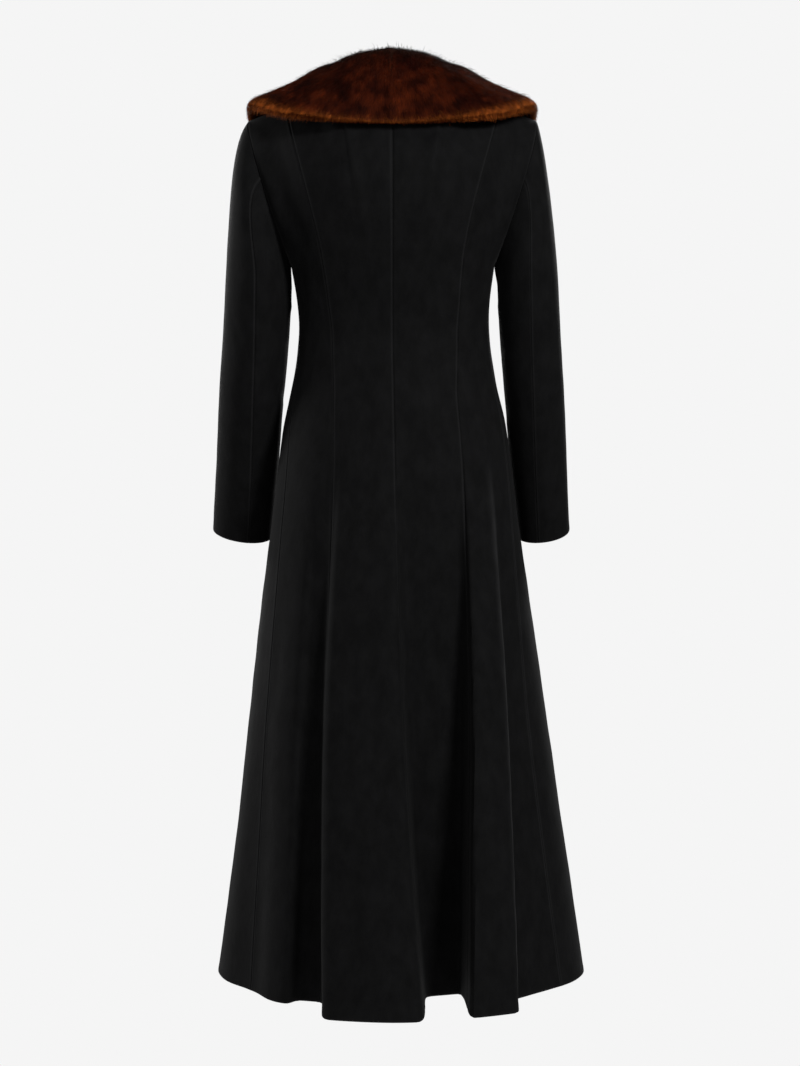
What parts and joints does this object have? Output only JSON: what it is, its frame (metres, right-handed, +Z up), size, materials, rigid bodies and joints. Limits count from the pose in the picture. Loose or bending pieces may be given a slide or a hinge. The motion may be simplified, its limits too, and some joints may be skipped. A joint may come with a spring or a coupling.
{
  "type": "long wool coat with fur collar",
  "caption": "Long fitted princess-line wool coat with a flared, fluted skirt, set-in sleeves and a wide fur shawl collar, filled out as worn.",
  "frame": {"origin": "midway between the neck ends of the two shoulder seams, where the wearer's shoulders carry the coat", "axes": "+Z up, +Y towards the back of the coat, +X towards the wearer's left"},
  "size_m": [0.5477, 0.5238, 1.3404],
  "materials": {
    "wool": "matt brushed double-faced wool",
    "fur": "glossy brown fur with rust tips"
  },
  "bodies": {
    "root": {"back_centre_left": "wool", "back_centre_right": "wool", "back_side_left": "wool", "back_side_right": "wool", "front_side_left": "wool", "front_side_right": "wool", "front_centre_left": "wool", "front_centre_right": "wool", "sleeve_upper_left": "wool", "sleeve_upper_right": "wool", "sleeve_under_left": "wool", "sleeve_under_right": "wool", "fur_collar_left": "fur", "fur_collar_right": "fur"}
  },
  "joints": []
}
